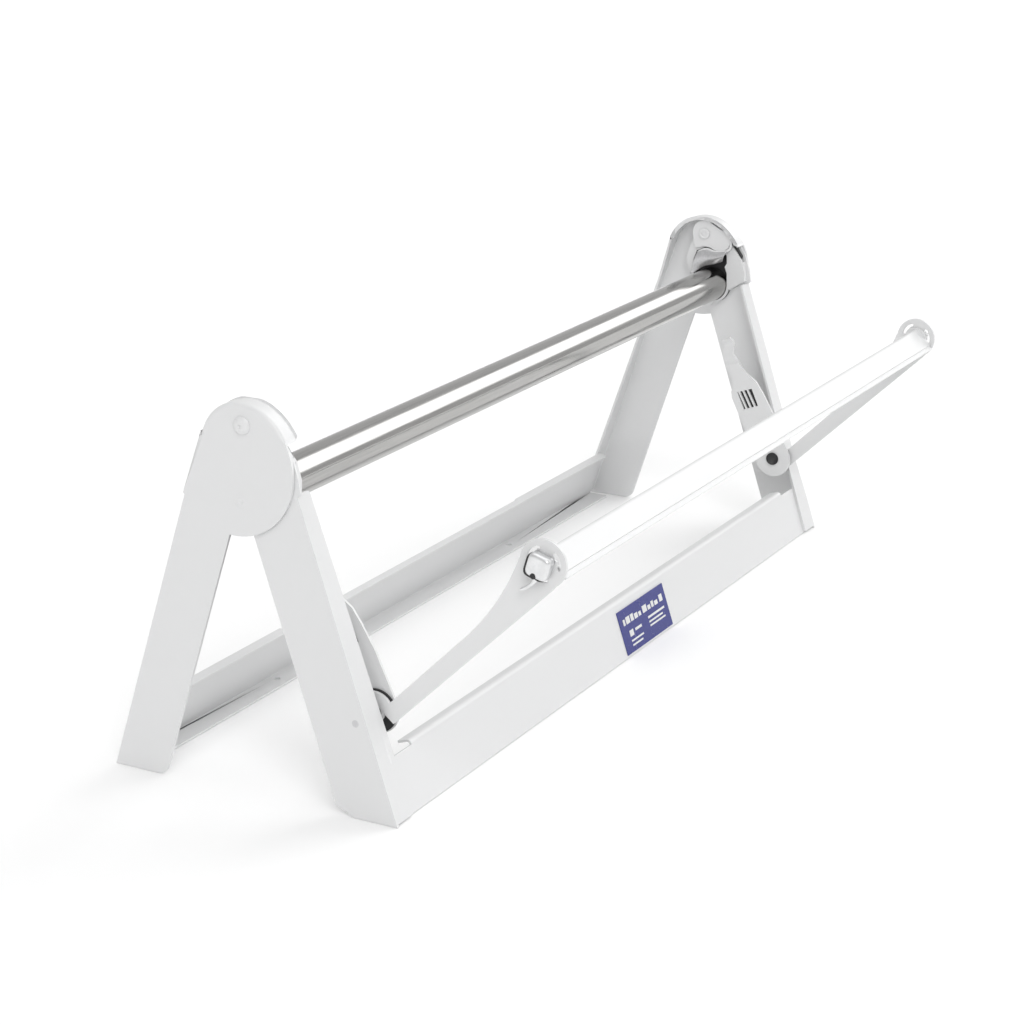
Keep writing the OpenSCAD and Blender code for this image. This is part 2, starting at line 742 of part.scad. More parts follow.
rear_leg_l();
rear_leg_r();
rear_rail();
pivot_rivets();
stop_pins();
front_leg_l();
front_leg_r();
front_panel();
label_plate();
flush_rivets();
bearing_plate_l();
bearing_plate_r();
rail_liner_l();
rail_liner_r();
hanging_rail();
rail_plugs();
keeper_l();
keeper_r();
arm_studs();
pivot_spacer_l();
pivot_spacer_r();
latch_l();
latch_r();
swing_arm_l();
swing_arm_r();
disc_washers();
disc_bolts();
swing_rail();
wing_nut_l();
wing_nut_r();
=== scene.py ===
"""Looks of a folding A-frame rack: white sheet steel, a polished round rail and a swing-out lower rail."""
import json
import math

import bmesh
import bpy
import numpy as np
from bpy.props import FloatProperty, FloatVectorProperty, PointerProperty
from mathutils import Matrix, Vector


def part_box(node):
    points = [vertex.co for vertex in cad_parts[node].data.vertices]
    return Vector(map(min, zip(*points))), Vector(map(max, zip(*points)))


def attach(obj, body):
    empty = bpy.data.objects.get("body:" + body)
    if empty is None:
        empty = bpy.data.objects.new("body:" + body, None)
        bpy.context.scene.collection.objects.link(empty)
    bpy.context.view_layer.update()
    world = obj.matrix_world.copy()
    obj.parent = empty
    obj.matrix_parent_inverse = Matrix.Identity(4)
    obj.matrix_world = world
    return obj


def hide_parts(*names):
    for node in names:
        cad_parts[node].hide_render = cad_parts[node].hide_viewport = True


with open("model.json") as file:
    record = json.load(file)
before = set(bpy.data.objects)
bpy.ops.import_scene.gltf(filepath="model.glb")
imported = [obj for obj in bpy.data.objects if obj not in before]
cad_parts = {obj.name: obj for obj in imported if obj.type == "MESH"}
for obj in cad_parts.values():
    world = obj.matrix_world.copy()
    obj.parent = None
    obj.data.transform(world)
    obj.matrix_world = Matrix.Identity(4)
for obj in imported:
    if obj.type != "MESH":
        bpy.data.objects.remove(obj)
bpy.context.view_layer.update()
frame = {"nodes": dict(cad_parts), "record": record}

bl_info = {
    "name": "Folding A-frame rack",
    "version": (1, 0, 0),
    "blender": (4, 5, 0),
    "location": "View3D > Sidebar > Rack",
    "description": "Builds the visible pieces of a folding A-frame rack round its packed frame",
    "category": "Object",
}

NODES = frame["nodes"]
BODY_OF = {n: b for b, ns in frame["record"]["behaviour"]["bodies"].items() for n in ns}
SIDES = (("l", -1.0), ("r", 1.0))
RAIL_WALL = 0.0012
WINDOW_LEVEL = 4.0
WINDOW_EDGES = (("X", 0.45, 0.60), ("Z", 0.24, 0.30), ("Y", 0.04, -0.04))
FLAT_WIDTH = 0.004
MERGE = 0.00002
FLAT_ANGLE = math.radians(0.6)
SHARP_ANGLE = math.radians(34)
CAMERA_PLACE = (-1.3696, -0.8373, 0.5833)
CAMERA_AIM = (0.8354, 0.4575, -0.3047)
SENSOR = 36.0
KEY_LIGHT = ((-1.6, -1.4, 2.1), 30.0, 0.85)
TOP_LIGHT = ((0.5, 0.3, 2.5), 44.0, 0.32)
FLOOR_HALF = 30.0
SHEET_THIN = 0.0016
LEG_TILT = math.radians(18.3)

# millimetres up the front leg from the arm pivot, and to its rear
LATCH_LEAN = (math.sin(LEG_TILT), math.cos(LEG_TILT))
LATCH_NECK = 76.6
TAB_REAR = ((76.4, 17.4), (80.0, 16.4), (85.5, 17.0), (91.3, 14.8), (96.6, 14.0))
TAB_FRONT = ((76.4, 5.8), (80.0, 6.0), (85.9, 7.8), (91.7, 5.4), (97.3, 6.4))
TAB_WAVE = 1.7
TAB_LEAN = 3.0
# corners of the black sheet behind each latch window: painted shade seen through the louvres
LOUVRE_SHADE_CORNERS = ((40.4, -1.0), (56.6, 0.4), (56.2, 15.2), (40.0, 13.6))
LOUVRE_SHADE_GAP = 0.2

# millimetres in the Y-Z plane, from the round rail's axis
LIP_LINE = ((-14.6, 39.2), (-16.5, 31.8), (-13.4, 26.9), (-4.4, 25.3), (3.9, 26.7), (11.3, 23.7))
LIP_R = 0.9
APRON_TOP = ((10.9, 23.9), (4.4, 26.6), (-3.0, 25.6), (-9.7, 26.0), (-13.5, 27.0))
APRON_LOW = ((16.2, 7.0), (11.6, 9.2), (5.2, 13.4), (-3.0, 15.8), (-9.9, 18.6))
APRON_BULGE = 2.2

# millimetres in the Y-Z plane, from the disc bolt
CUP_HALF = 6.8
CUP_POWER = 4.5
CUP_CLEAR = 0.1
CUP_TURN = 17.0
CUP_ROWS = ((0.0, 1.0), (0.3, 1.01), (0.55, 1.01), (0.75, 0.98), (0.88, 0.93), (0.96, 0.85), (1.0, 0.74),
            (1.0, 0.5), (0.97, 0.25), (0.96, 0.0))
CUP_OPENING = (-80.0, 12.0, 3)
# lower black copy of the cup, shifted to one side: painted shadow of the cup on the arm disc
SHADOW_DISC_HEIGHT = 0.85
SHADOW_DISC_SHIFT = (1.7, -0.9)
# small black dome on each cup nut near the lever: painted shade of the nut's opening
SHADE_DOT_PLACE = (2.2, -4.9)
SHADE_DOT_R = 1.9
SHADE_DOT_ROWS = ((0.0, 0.0), (0.0, 1.0), (0.5, 0.97), (1.0, 0.8), (1.3, 0.4), (1.35, 0.0))
LEVER_LINE = ((0.6, -5.2), (3.4, -9.6), (8.2, -13.4), (12.0, -15.2))
LEVER_R = 1.35

# left, right, bottom and top of each bar as shares of the label
LABEL_INK = 0.00008
LABEL_BARS = ((0.07, 0.11, 0.64, 0.78), (0.13, 0.21, 0.64, 0.80), (0.23, 0.29, 0.64, 0.80),
              (0.31, 0.38, 0.64, 0.76), (0.40, 0.45, 0.64, 0.74), (0.49, 0.58, 0.64, 0.80),
              (0.60, 0.66, 0.64, 0.74), (0.68, 0.73, 0.64, 0.78), (0.75, 0.82, 0.64, 0.74),
              (0.86, 0.93, 0.64, 0.80), (0.14, 0.22, 0.34, 0.48), (0.26, 0.40, 0.40, 0.46),
              (0.14, 0.40, 0.22, 0.26), (0.14, 0.36, 0.12, 0.16), (0.56, 0.92, 0.46, 0.51),
              (0.56, 0.86, 0.36, 0.40), (0.56, 0.90, 0.27, 0.31))
LATCH_WINDOW_LEVELS = (41.0, 45.0, 49.0)
MM = 0.001
SCREWS = [m for m in frame["record"]["mounts"] if m["name"] == "bench_screws"][0]
SCREW_PITCH = SCREWS["dims"]["spacing_x_mm"] * MM


# ---------------------------------------------------------------- settings
class RackSheetSettings(bpy.types.PropertyGroup):
    """Radii of the folded sheet."""
    cut_edge: FloatProperty(name="Cut edge", description="Rounding of a cut edge under its coat",
                            default=0.00028, min=0.0001, max=0.0008, subtype="DISTANCE", unit="LENGTH")
    bend: FloatProperty(name="Bend radius", description="Outside radius of a folded corner",
                        default=0.0024, min=0.001, max=0.005, subtype="DISTANCE", unit="LENGTH")


class RackCoatSettings(bpy.types.PropertyGroup):
    """White powder coat."""
    color: FloatVectorProperty(name="Coat colour", description="Colour of the powder coat",
                               default=(0.74, 0.743, 0.746), size=3, min=0.0, max=1.0, subtype="COLOR")
    roughness: FloatProperty(name="Coat roughness", description="Roughness of the powder coat",
                             default=0.38, min=0.0, max=1.0, subtype="FACTOR")
    peel: FloatProperty(name="Orange peel", description="Height of the coat's fine waviness",
                        default=0.00003, min=0.0, max=0.0003, subtype="DISTANCE", unit="LENGTH")


class RackMetalSettings(bpy.types.PropertyGroup):
    """Bare metals."""
    rail_color: FloatVectorProperty(name="Rail colour", description="Colour of the polished rail",
                                    default=(0.47, 0.465, 0.455), size=3, min=0.0, max=1.0, subtype="COLOR")
    zinc_color: FloatVectorProperty(name="Zinc colour", description="Colour of the plated fasteners",
                                    default=(0.86, 0.865, 0.87), size=3, min=0.0, max=1.0, subtype="COLOR")


class RackStageSettings(bpy.types.PropertyGroup):
    """Floor, lights and camera."""
    lens: FloatProperty(name="Lens", description="Focal length on a 36 mm sensor, in millimetres",
                        default=86.13, min=20.0, max=200.0)
    floor_color: FloatVectorProperty(name="Floor colour", description="Colour of the floor",
                                     default=(0.985, 0.985, 0.985), size=3, min=0.0, max=1.0, subtype="COLOR")
    fill: FloatProperty(name="Fill", description="Strength of the light that comes from all sides",
                        default=0.66, min=0.0, max=4.0)


def sheet_settings():
    return bpy.context.scene.rack_sheet


# ---------------------------------------------------------------- node helpers
def shader(name):
    """New material; returns (material, node tree, Principled BSDF)."""
    mat = bpy.data.materials.new(name)
    mat.use_nodes = True
    return mat, mat.node_tree, mat.node_tree.nodes["Principled BSDF"]


def add(tree, kind, **inputs):
    """Adds a node and sets the inputs that are given by name."""
    node = tree.nodes.new(kind)
    for key, value in inputs.items():
        node.inputs[key.replace("_", " ")].default_value = value
    return node


def group(name, inputs, outputs):
    """New shader node group with float or colour sockets; returns (group, input node, output node)."""
    tree = bpy.data.node_groups.new(name, "ShaderNodeTree")
    for label, kind, value in inputs:
        socket = tree.interface.new_socket(name=label, in_out="INPUT", socket_type=kind)
        socket.default_value = value
    for label, kind in outputs:
        tree.interface.new_socket(name=label, in_out="OUTPUT", socket_type=kind)
    return tree, tree.nodes.new("NodeGroupInput"), tree.nodes.new("NodeGroupOutput")


def noise(tree, vector, scale, detail=3.0, rough=0.55):
    """Noise texture fed by a vector socket; its first output is the value."""
    node = add(tree, "ShaderNodeTexNoise", Scale=scale, Detail=detail, Roughness=rough)
    tree.links.new(vector, node.inputs["Vector"])
    return node.outputs[0]


def ramp(tree, value, low, high):
    """Maps a value so that low gives 0 and high gives 1, clamped."""
    node = add(tree, "ShaderNodeMapRange")
    node.inputs["From Min"].default_value = low
    node.inputs["From Max"].default_value = high
    tree.links.new(value, node.inputs["Value"])
    return node.outputs["Result"]


def mix_color(tree, factor, first, second):
    """Blends two colours, each a socket or a tuple, by a factor socket."""
    node = tree.nodes.new("ShaderNodeMix")
    node.data_type = "RGBA"
    tree.links.new(factor, node.inputs["Factor"])
    for label, value in (("A", first), ("B", second)):
        socket = [s for s in node.inputs if s.name == label and s.type == "RGBA"][0]
        if isinstance(value, (tuple, list)):
            socket.default_value = (*value[:3], 1.0)
        else:
            tree.links.new(value, socket)
    return [s for s in node.outputs if s.type == "RGBA"][0]


def math_node(tree, operation, first, second=0.0):
    """One Math node; each operand is a socket or a number."""
    node = tree.nodes.new("ShaderNodeMath")
    node.operation = operation
    for index, value in enumerate((first, second)):
        if isinstance(value, (int, float)):
            node.inputs[index].default_value = value
        else:
            tree.links.new(value, node.inputs[index])
    return node.outputs[0]


def wear_group():
    """Edge wear and settled dust: masks between 0 and 1.

    Edge is high where the surface is sharply convex, broken up by noise. Dust is high on faces that
    look up, thinned by noise.
    """
    if "rack wear" in bpy.data.node_groups:
        return bpy.data.node_groups["rack wear"]
    tree, inp, out = group("rack wear", [("Edge Start", "NodeSocketFloat", 0.53),
                                         ("Break Up", "NodeSocketFloat", 90.0)],
                           [("Edge", "NodeSocketFloat"), ("Dust", "NodeSocketFloat")])
    coord = tree.nodes.new("ShaderNodeTexCoord").outputs["Object"]
    geo = tree.nodes.new("ShaderNodeNewGeometry")
    broken = add(tree, "ShaderNodeTexNoise", Detail=4.0, Roughness=0.6)
    tree.links.new(coord, broken.inputs["Vector"])
    tree.links.new(inp.outputs["Break Up"], broken.inputs["Scale"])
    over = math_node(tree, "SUBTRACT", geo.outputs["Pointiness"], inp.outputs["Edge Start"])
    edge = math_node(tree, "MULTIPLY", over, 14.0)
    patchy = ramp(tree, broken.outputs[0], 0.42, 0.62)
    edge = math_node(tree, "MINIMUM", math_node(tree, "MAXIMUM", edge, 0.0), 1.0)
    edge = math_node(tree, "MULTIPLY", edge, patchy)
    split = tree.nodes.new("ShaderNodeSeparateXYZ")
    tree.links.new(geo.outputs["Normal"], split.inputs[0])
    up = ramp(tree, split.outputs["Z"], 0.35, 1.0)
    thin = ramp(tree, noise(tree, coord, 26.0, 6.0, 0.65), 0.46, 0.74)
    tree.links.new(edge, out.inputs["Edge"])
    tree.links.new(math_node(tree, "MULTIPLY", up, thin), out.inputs["Dust"])
    return tree


def coat_group():
    """Powder coat surface: slow tone drift, small pits and fine waviness as a height."""
    if "rack powder coat" in bpy.data.node_groups:
        return bpy.data.node_groups["rack powder coat"]
    tree, inp, out = group("rack powder coat", [("Color", "NodeSocketColor", (0.8, 0.8, 0.8, 1.0)),
                                                ("Drift", "NodeSocketFloat", 0.05),
                                                ("Gloss", "NodeSocketFloat", 0.38)],
                           [("Color", "NodeSocketColor"), ("Roughness", "NodeSocketFloat"),
                            ("Height", "NodeSocketFloat")])
    coord = tree.nodes.new("ShaderNodeTexCoord").outputs["Object"]
    slow = noise(tree, coord, 7.0, 4.0, 0.6)
    speck = ramp(tree, noise(tree, coord, 900.0, 2.0, 0.5), 0.66, 0.78)
    shade = math_node(tree, "SUBTRACT", 1.0, math_node(tree, "MULTIPLY", slow, inp.outputs["Drift"]))
    shade = math_node(tree, "SUBTRACT", shade, math_node(tree, "MULTIPLY", speck, 0.035))
    scaled = tree.nodes.new("ShaderNodeVectorMath")
    scaled.operation = "SCALE"
    tree.links.new(inp.outputs["Color"], scaled.inputs[0])
    tree.links.new(shade, scaled.inputs["Scale"])
    tree.links.new(scaled.outputs[0], out.inputs["Color"])
    cloudy = math_node(tree, "SUBTRACT", noise(tree, coord, 40.0, 5.0, 0.6), 0.5)
    cloudy = math_node(tree, "MULTIPLY", cloudy, 0.16)
    tree.links.new(math_node(tree, "ADD", inp.outputs["Gloss"], cloudy), out.inputs["Roughness"])
    peel = noise(tree, coord, 420.0, 2.0, 0.5)
    wave = noise(tree, coord, 60.0, 2.0, 0.5)
    height = math_node(tree, "ADD", math_node(tree, "MULTIPLY", peel, 0.55),
                       math_node(tree, "MULTIPLY", wave, 0.4))
    tree.links.new(math_node(tree, "SUBTRACT", height, math_node(tree, "MULTIPLY", speck, 0.5)),
                   out.inputs["Height"])
    return tree


def place_group(tree, made, **values):
    """Puts a node group in a material's tree with its own values."""
    node = tree.nodes.new("ShaderNodeGroup")
    node.node_tree = made
    for key, value in values.items():
        node.inputs[key.replace("_", " ")].default_value = value
    return node


def bump(tree, height, shader_node, distance, strength=1.0):
    """Feeds a height socket through a Bump node into the shader's normal."""
    node = add(tree, "ShaderNodeBump", Strength=strength, Distance=distance)
    tree.links.new(height, node.inputs["Height"])
    tree.links.new(node.outputs["Normal"], shader_node.inputs["Normal"])


def white_coat():
    """White powder coat over folded steel, thinner and greyer on its sharp edges."""
    name = "white powder coat"
    if name in bpy.data.materials:
        return bpy.data.materials[name]
    coat = bpy.context.scene.rack_coat
    mat, tree, bsdf = shader(name)
    skin = place_group(tree, coat_group(), Color=(*coat.color, 1.0), Drift=0.015, Gloss=coat.roughness)
    wear = place_group(tree, wear_group(), Edge_Start=0.56, Break_Up=120.0)
    thin = mix_color(tree, math_node(tree, "MULTIPLY", wear.outputs["Edge"], 0.03), skin.outputs["Color"],
                     (0.62, 0.63, 0.64))
    dusty = mix_color(tree, math_node(tree, "MULTIPLY", wear.outputs["Dust"], 0.05), thin, (0.74, 0.73, 0.71))
    tree.links.new(dusty, bsdf.inputs["Base Color"])
    tree.links.new(skin.outputs["Roughness"], bsdf.inputs["Roughness"])
    bsdf.inputs["Coat Weight"].default_value = 0.25
    bsdf.inputs["Coat Roughness"].default_value = 0.22
    bump(tree, skin.outputs["Height"], bsdf, coat.peel)
    return mat


def metal(name, color, rough, grain_axis, grain=0.12, streak_scale=900.0, depth=0.00001):
    """Metal with a directional grain: noise stretched along grain_axis changes roughness, tone and height."""
    if name in bpy.data.materials:
        return bpy.data.materials[name]
    mat, tree, bsdf = shader(name)
    coord = tree.nodes.new("ShaderNodeTexCoord").outputs["Object"]
    stretch = tree.nodes.new("ShaderNodeMapping")
    stretch.inputs["Scale"].default_value = [0.02 if i == grain_axis else 1.0 for i in range(3)]
    tree.links.new(coord, stretch.inputs["Vector"])
    streak = noise(tree, stretch.outputs[0], streak_scale, 4.0, 0.65)
    cloud = noise(tree, coord, 14.0, 4.0, 0.6)
    wear = place_group(tree, wear_group(), Edge_Start=0.56, Break_Up=60.0)
    dark = tuple(c * 0.82 for c in color)
    toned = mix_color(tree, ramp(tree, streak, 0.3, 0.7), dark, color)
    toned = mix_color(tree, math_node(tree, "MULTIPLY", ramp(tree, cloud, 0.35, 0.75), 0.25), toned,
                      tuple(c * 0.88 for c in color))
    toned = mix_color(tree, math_node(tree, "MULTIPLY", wear.outputs["Edge"], 0.4), toned, (0.9, 0.9, 0.9))
    tree.links.new(toned, bsdf.inputs["Base Color"])
    bsdf.inputs["Metallic"].default_value = 1.0
    varied = math_node(tree, "MULTIPLY", math_node(tree, "SUBTRACT", streak, 0.5), grain)
    varied = math_node(tree, "ADD", varied, math_node(tree, "MULTIPLY", wear.outputs["Dust"], 0.08))
    tree.links.new(math_node(tree, "ADD", varied, rough), bsdf.inputs["Roughness"])
    bump(tree, streak, bsdf, depth)
    return mat


def black_nylon_and_shade():
    """Moulded black nylon with a spark-eroded grain and paler rubbed edges; also the black of pieces that are
    painted shade.
    """
    name = "black nylon"
    if name in bpy.data.materials:
        return bpy.data.materials[name]
    mat, tree, bsdf = shader(name)
    coord = tree.nodes.new("ShaderNodeTexCoord").outputs["Object"]
    grain = noise(tree, coord, 1500.0, 3.0, 0.6)
    wear = place_group(tree, wear_group(), Edge_Start=0.53, Break_Up=150.0)
    base = mix_color(tree, ramp(tree, grain, 0.3, 0.7), (0.010, 0.010, 0.011), (0.020, 0.020, 0.022))
    base = mix_color(tree, math_node(tree, "MULTIPLY", wear.outputs["Edge"], 0.5), base, (0.09, 0.09, 0.09))
    base = mix_color(tree, math_node(tree, "MULTIPLY", wear.outputs["Dust"], 0.2), base, (0.16, 0.15, 0.14))
    tree.links.new(base, bsdf.inputs["Base Color"])
    rough = math_node(tree, "ADD", math_node(tree, "MULTIPLY", grain, 0.25), 0.36)
    tree.links.new(rough, bsdf.inputs["Roughness"])
    bump(tree, grain, bsdf, 0.00003)
    return mat


def rail_steel():
    return metal("polished rail steel", tuple(bpy.context.scene.rack_metal.rail_color), 0.13, 0, 0.07, 1400.0)


def zinc():
    color = tuple(bpy.context.scene.rack_metal.zinc_color)
    return metal("bright zinc", color, 0.30, 0, 0.05, 160.0, 0.000003)


def rivet_steel():
    return metal("pressed rivet steel", (0.66, 0.66, 0.67), 0.33, 0, 0.12, 700.0, 0.00002)


def label_film():
    """Dark blue printed film: faint print grain, fine scuffs and a gloss that varies."""
    name = "label film"
    if name in bpy.data.materials:
        return bpy.data.materials[name]
    mat, tree, bsdf = shader(name)
    coord = tree.nodes.new("ShaderNodeTexCoord").outputs["Object"]
    grain = noise(tree, coord, 700.0, 3.0, 0.6)
    scuff = ramp(tree, noise(tree, coord, 90.0, 6.0, 0.7), 0.6, 0.8)
    base = mix_color(tree, ramp(tree, grain, 0.3, 0.7), (0.020, 0.026, 0.19), (0.030, 0.038, 0.23))
    base = mix_color(tree, math_node(tree, "MULTIPLY", scuff, 0.25), base, (0.10, 0.11, 0.30))
    tree.links.new(base, bsdf.inputs["Base Color"])
    rough = math_node(tree, "ADD", math_node(tree, "MULTIPLY", scuff, 0.2), 0.26)
    tree.links.new(rough, bsdf.inputs["Roughness"])
    bump(tree, grain, bsdf, 0.00001)
    return mat


# ---------------------------------------------------------------- mesh helpers
def finish_piece(obj, material, body, nodes=(), edge=0.0):
    """Gives a new piece its material, optional edge rounding, body and the nodes it stands for."""
    obj.data.materials.clear()
    obj.data.materials.append(material)
    obj.data.shade_smooth()
    calm_flats(obj.data)
    if edge:
        bevel = obj.modifiers.new("edges", "BEVEL")
        bevel.width = edge
        bevel.segments = 2
        bevel.limit_method = "ANGLE"
        bevel.angle_limit = SHARP_ANGLE
        bevel.use_clamp_overlap = True
    weighted = obj.modifiers.new("normals", "WEIGHTED_NORMAL")
    weighted.keep_sharp = True
    weighted.weight = 60
    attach(obj, body)
    if nodes:
        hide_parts(*nodes)
    return obj


def calm_flats(mesh):
    """Shades broad flats flat: faces whose width, 2 * area / outline, is over FLAT_WIDTH."""
    points = mesh.vertices
    length = [(points[e.vertices[0]].co - points[e.vertices[1]].co).length for e in mesh.edges]
    outline = [sum(length[mesh.loops[i].edge_index] for i in face.loop_indices) for face in mesh.polygons]
    width = [2 * face.area / total for face, total in zip(mesh.polygons, outline)]
    mesh.polygons.foreach_set("use_smooth", [w < FLAT_WIDTH for w in width])


def link(name, mesh):
    obj = bpy.data.objects.new(name, mesh)
    bpy.context.scene.collection.objects.link(obj)
    return obj


def merged_copy(node, cuts=()):
    """Closed copy of a CAD node's triangles with its flat faces joined, as a bmesh.

    The flats are cut through the middle of every hole first, so that no joined face has a hole in it.
    """
    shape = bmesh.new()
    shape.from_mesh(NODES[node].data)
    bmesh.ops.remove_doubles(shape, verts=shape.verts, dist=MERGE)
    for point, normal in cuts:
        everything = list(shape.verts) + list(shape.edges) + list(shape.faces)
        found = bmesh.ops.bisect_plane(shape, geom=everything, plane_co=point, plane_no=normal, dist=1e-6)
        for item in found["geom_cut"]:
            if isinstance(item, bmesh.types.BMEdge):
                item.seam = True
    bmesh.ops.dissolve_limit(shape, angle_limit=FLAT_ANGLE, verts=shape.verts, edges=shape.edges,
                             delimit={"SEAM"})
    return shape


def extent(face, axis):
    """Length of a face's shadow on an axis."""
    along = [v.co.dot(axis) for v in face.verts]
    return max(along) - min(along)


def long_folds(shape, least):
    """Edges along X, longer than least, between two faces that are both wider than a sheet is thick."""
    found = []
    for edge in shape.edges:
        run = edge.verts[0].co - edge.verts[1].co
        if len(edge.link_faces) != 2 or abs(run.x) < least or abs(run.y) + abs(run.z) > 1e-5:
            continue
        if edge.calc_face_angle(0.0) < 0.5:
            continue
        widths = [max(extent(f, Vector((0, 1, 0))), extent(f, Vector((0, 0, 1)))) for f in edge.link_faces]
        if min(widths) > 0.0026:
            found.append(edge)
    return found


def fold_edges(shape, axis, least):
    """Edges between a face square to axis and a face that runs along axis for more than least."""
    found = []
    for edge in shape.edges:
        if len(edge.link_faces) != 2:
            continue
        one, two = edge.link_faces
        if abs(one.normal.dot(axis)) < abs(two.normal.dot(axis)):
            one, two = two, one
        square_on = abs(one.normal.dot(axis)) > 0.99 and abs(two.normal.dot(axis)) < 0.12
        rise = abs(edge.verts[0].co.dot(axis) - edge.verts[1].co.dot(axis))
        if square_on and extent(two, axis) > least and rise < 1e-5:
            found.append(edge)
    return found


def round_folds(shape, folds, radius, sheet):
    """Rounds folded corners: outside edges get radius, inside edges radius less the sheet."""
    outer = [e for e in folds if e.is_convex]
    inner = [e for e in folds if not e.is_convex]
    bmesh.ops.bevel(shape, geom=outer, offset=radius, offset_type="OFFSET", segments=5, profile=0.5,
                    affect="EDGES", clamp_overlap=False)
    inner = [e for e in inner if e.is_valid]
    bmesh.ops.bevel(shape, geom=inner, offset=max(radius - sheet, 0.0003), offset_type="OFFSET", segments=3,
                    profile=0.5, affect="EDGES", clamp_overlap=False)


def sheet_piece(node, axis=None, along=None, least=0.004, sheet=0.0018, cuts=(), trim=None):
    """Folded sheet from a CAD node: flat faces joined, folds rounded, cut edges softened, one end trimmed."""
    settings = sheet_settings()
    shape = merged_copy(node, cuts)
    if trim is not None:
        everything = list(shape.verts) + list(shape.edges) + list(shape.faces)
        bmesh.ops.bisect_plane(shape, geom=everything, plane_co=trim[0], plane_no=trim[1], clear_outer=True)
        bmesh.ops.holes_fill(shape, edges=[e for e in shape.edges if e.is_boundary], sides=0)
    if along is not None:
        round_folds(shape, long_folds(shape, along), settings.bend, sheet)
    if axis is not None:
        round_folds(shape, fold_edges(shape, Vector(axis).normalized(), least), settings.bend, sheet)
    mesh = bpy.data.meshes.new(node + "_sheet")
    shape.to_mesh(mesh)
    shape.free()
    keep_in_box(mesh, node)
    obj = link(node + "_sheet", mesh)
    return finish_piece(obj, white_coat(), BODY_OF[node], [node], settings.cut_edge)


def keep_in_box(mesh, node):
    """Moves points that a rounded fold pushed past the node's box back: p = min(max(p, low), high)."""
    low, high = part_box(node)
    points = np.empty(len(mesh.vertices) * 3)
    mesh.vertices.foreach_get("co", points)
    points = np.clip(points.reshape(-1, 3), tuple(low), tuple(high))
    mesh.vertices.foreach_set("co", points.ravel())
    mesh.update()


def dress(node, material, edge=0.0):
    """Keeps a CAD node's shape, softens its edges and gives it a material."""
    obj = NODES[node]
    obj.data.materials.clear()
    obj.data.materials.append(material)
    if edge:
        weld = obj.modifiers.new("weld", "WELD")
        weld.merge_threshold = MERGE
        flat = obj.modifiers.new("flats", "DECIMATE")
        flat.decimate_type = "DISSOLVE"
        flat.angle_limit = FLAT_ANGLE
        bevel = obj.modifiers.new("edges", "BEVEL")
        bevel.width = edge
        bevel.segments = 2
        bevel.limit_method = "ANGLE"
        bevel.angle_limit = SHARP_ANGLE


def level(height):
    """Horizontal cutting plane."""
    return (0.0, 0.0, height), (0.0, 0.0, 1.0)


def across(place):
    """Cutting plane square to X."""
    return (place, 0.0, 0.0), (1.0, 0.0, 0.0)


def centre(node):
    low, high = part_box(node)
    return (low + high) / 2


def grid_mesh(name, points, closed_u=False, closed_v=False):
    """Mesh of a grid of points, shape (u, v, 3), with either direction closed if asked."""
    rows, cols = points.shape[:2]
    index = np.arange(rows * cols).reshape(rows, cols)
    if closed_u:
        index = np.concatenate([index, index[:1]], 0)
    if closed_v:
        index = np.concatenate([index, index[:, :1]], 1)
    quads = np.stack([index[:-1, :-1], index[1:, :-1], index[1:, 1:], index[:-1, 1:]], -1).reshape(-1, 4)
    mesh = bpy.data.meshes.new(name)
    mesh.from_pydata(points.reshape(-1, 3).tolist(), [], quads.tolist())
    return mesh


def closed_object(name, meshes):
    """Joins meshes into one object, merges touching vertices and points the faces outwards."""
    shape = bmesh.new()
    for mesh in meshes:
        shape.from_mesh(mesh)
        bpy.data.meshes.remove(mesh)
    bmesh.ops.remove_doubles(shape, verts=shape.verts, dist=1e-6)
    bmesh.ops.recalc_face_normals(shape, faces=shape.faces)
    mesh = bpy.data.meshes.new(name)
    shape.to_mesh(mesh)
    shape.free()
    return link(name, mesh)


def arc(start, end, count):
    """Cosines and sines of evenly spaced angles, in degrees."""
    angle = np.radians(np.linspace(start, end, count))
    return np.cos(angle), np.sin(angle)


def turned(name, centre_yz, profile, count=96):
    """Surface of revolution about a line along X: profile holds (x, radius) pairs, closed on itself.

    Point (i, j) = (x_i, cy + r_i cos a_j, cz + r_i sin a_j).
    """
    profile = np.asarray(profile, float)
    cos, sin = arc(0.0, 360.0, count + 1)
    x = np.repeat(profile[:, :1], count, 1)
    y = centre_yz[0] + profile[:, 1:] * cos[None, :-1]
    z = centre_yz[1] + profile[:, 1:] * sin[None, :-1]
    return grid_mesh(name, np.stack([x, y, z], -1), closed_v=True, closed_u=True)


def smooth(points, count):
    """Catmull-Rom curve: on each span a cubic whose end slopes are half the chord of its neighbours."""
    p = np.asarray(points, float)
    p = np.concatenate([2 * p[:1] - p[1:2], p, 2 * p[-1:] - p[-2:-1]])
    t = np.linspace(0, len(p) - 3, count)
    i = np.minimum(t.astype(int), len(p) - 4)
    f = (t - i)[:, None]
    a, b, c, d = p[i], p[i + 1], p[i + 2], p[i + 3]
    return 0.5 * (2 * b + (c - a) * f + (2 * a - 5 * b + 4 * c - d) * f ** 2
                  + (3 * b - a - 3 * c + d) * f ** 3)


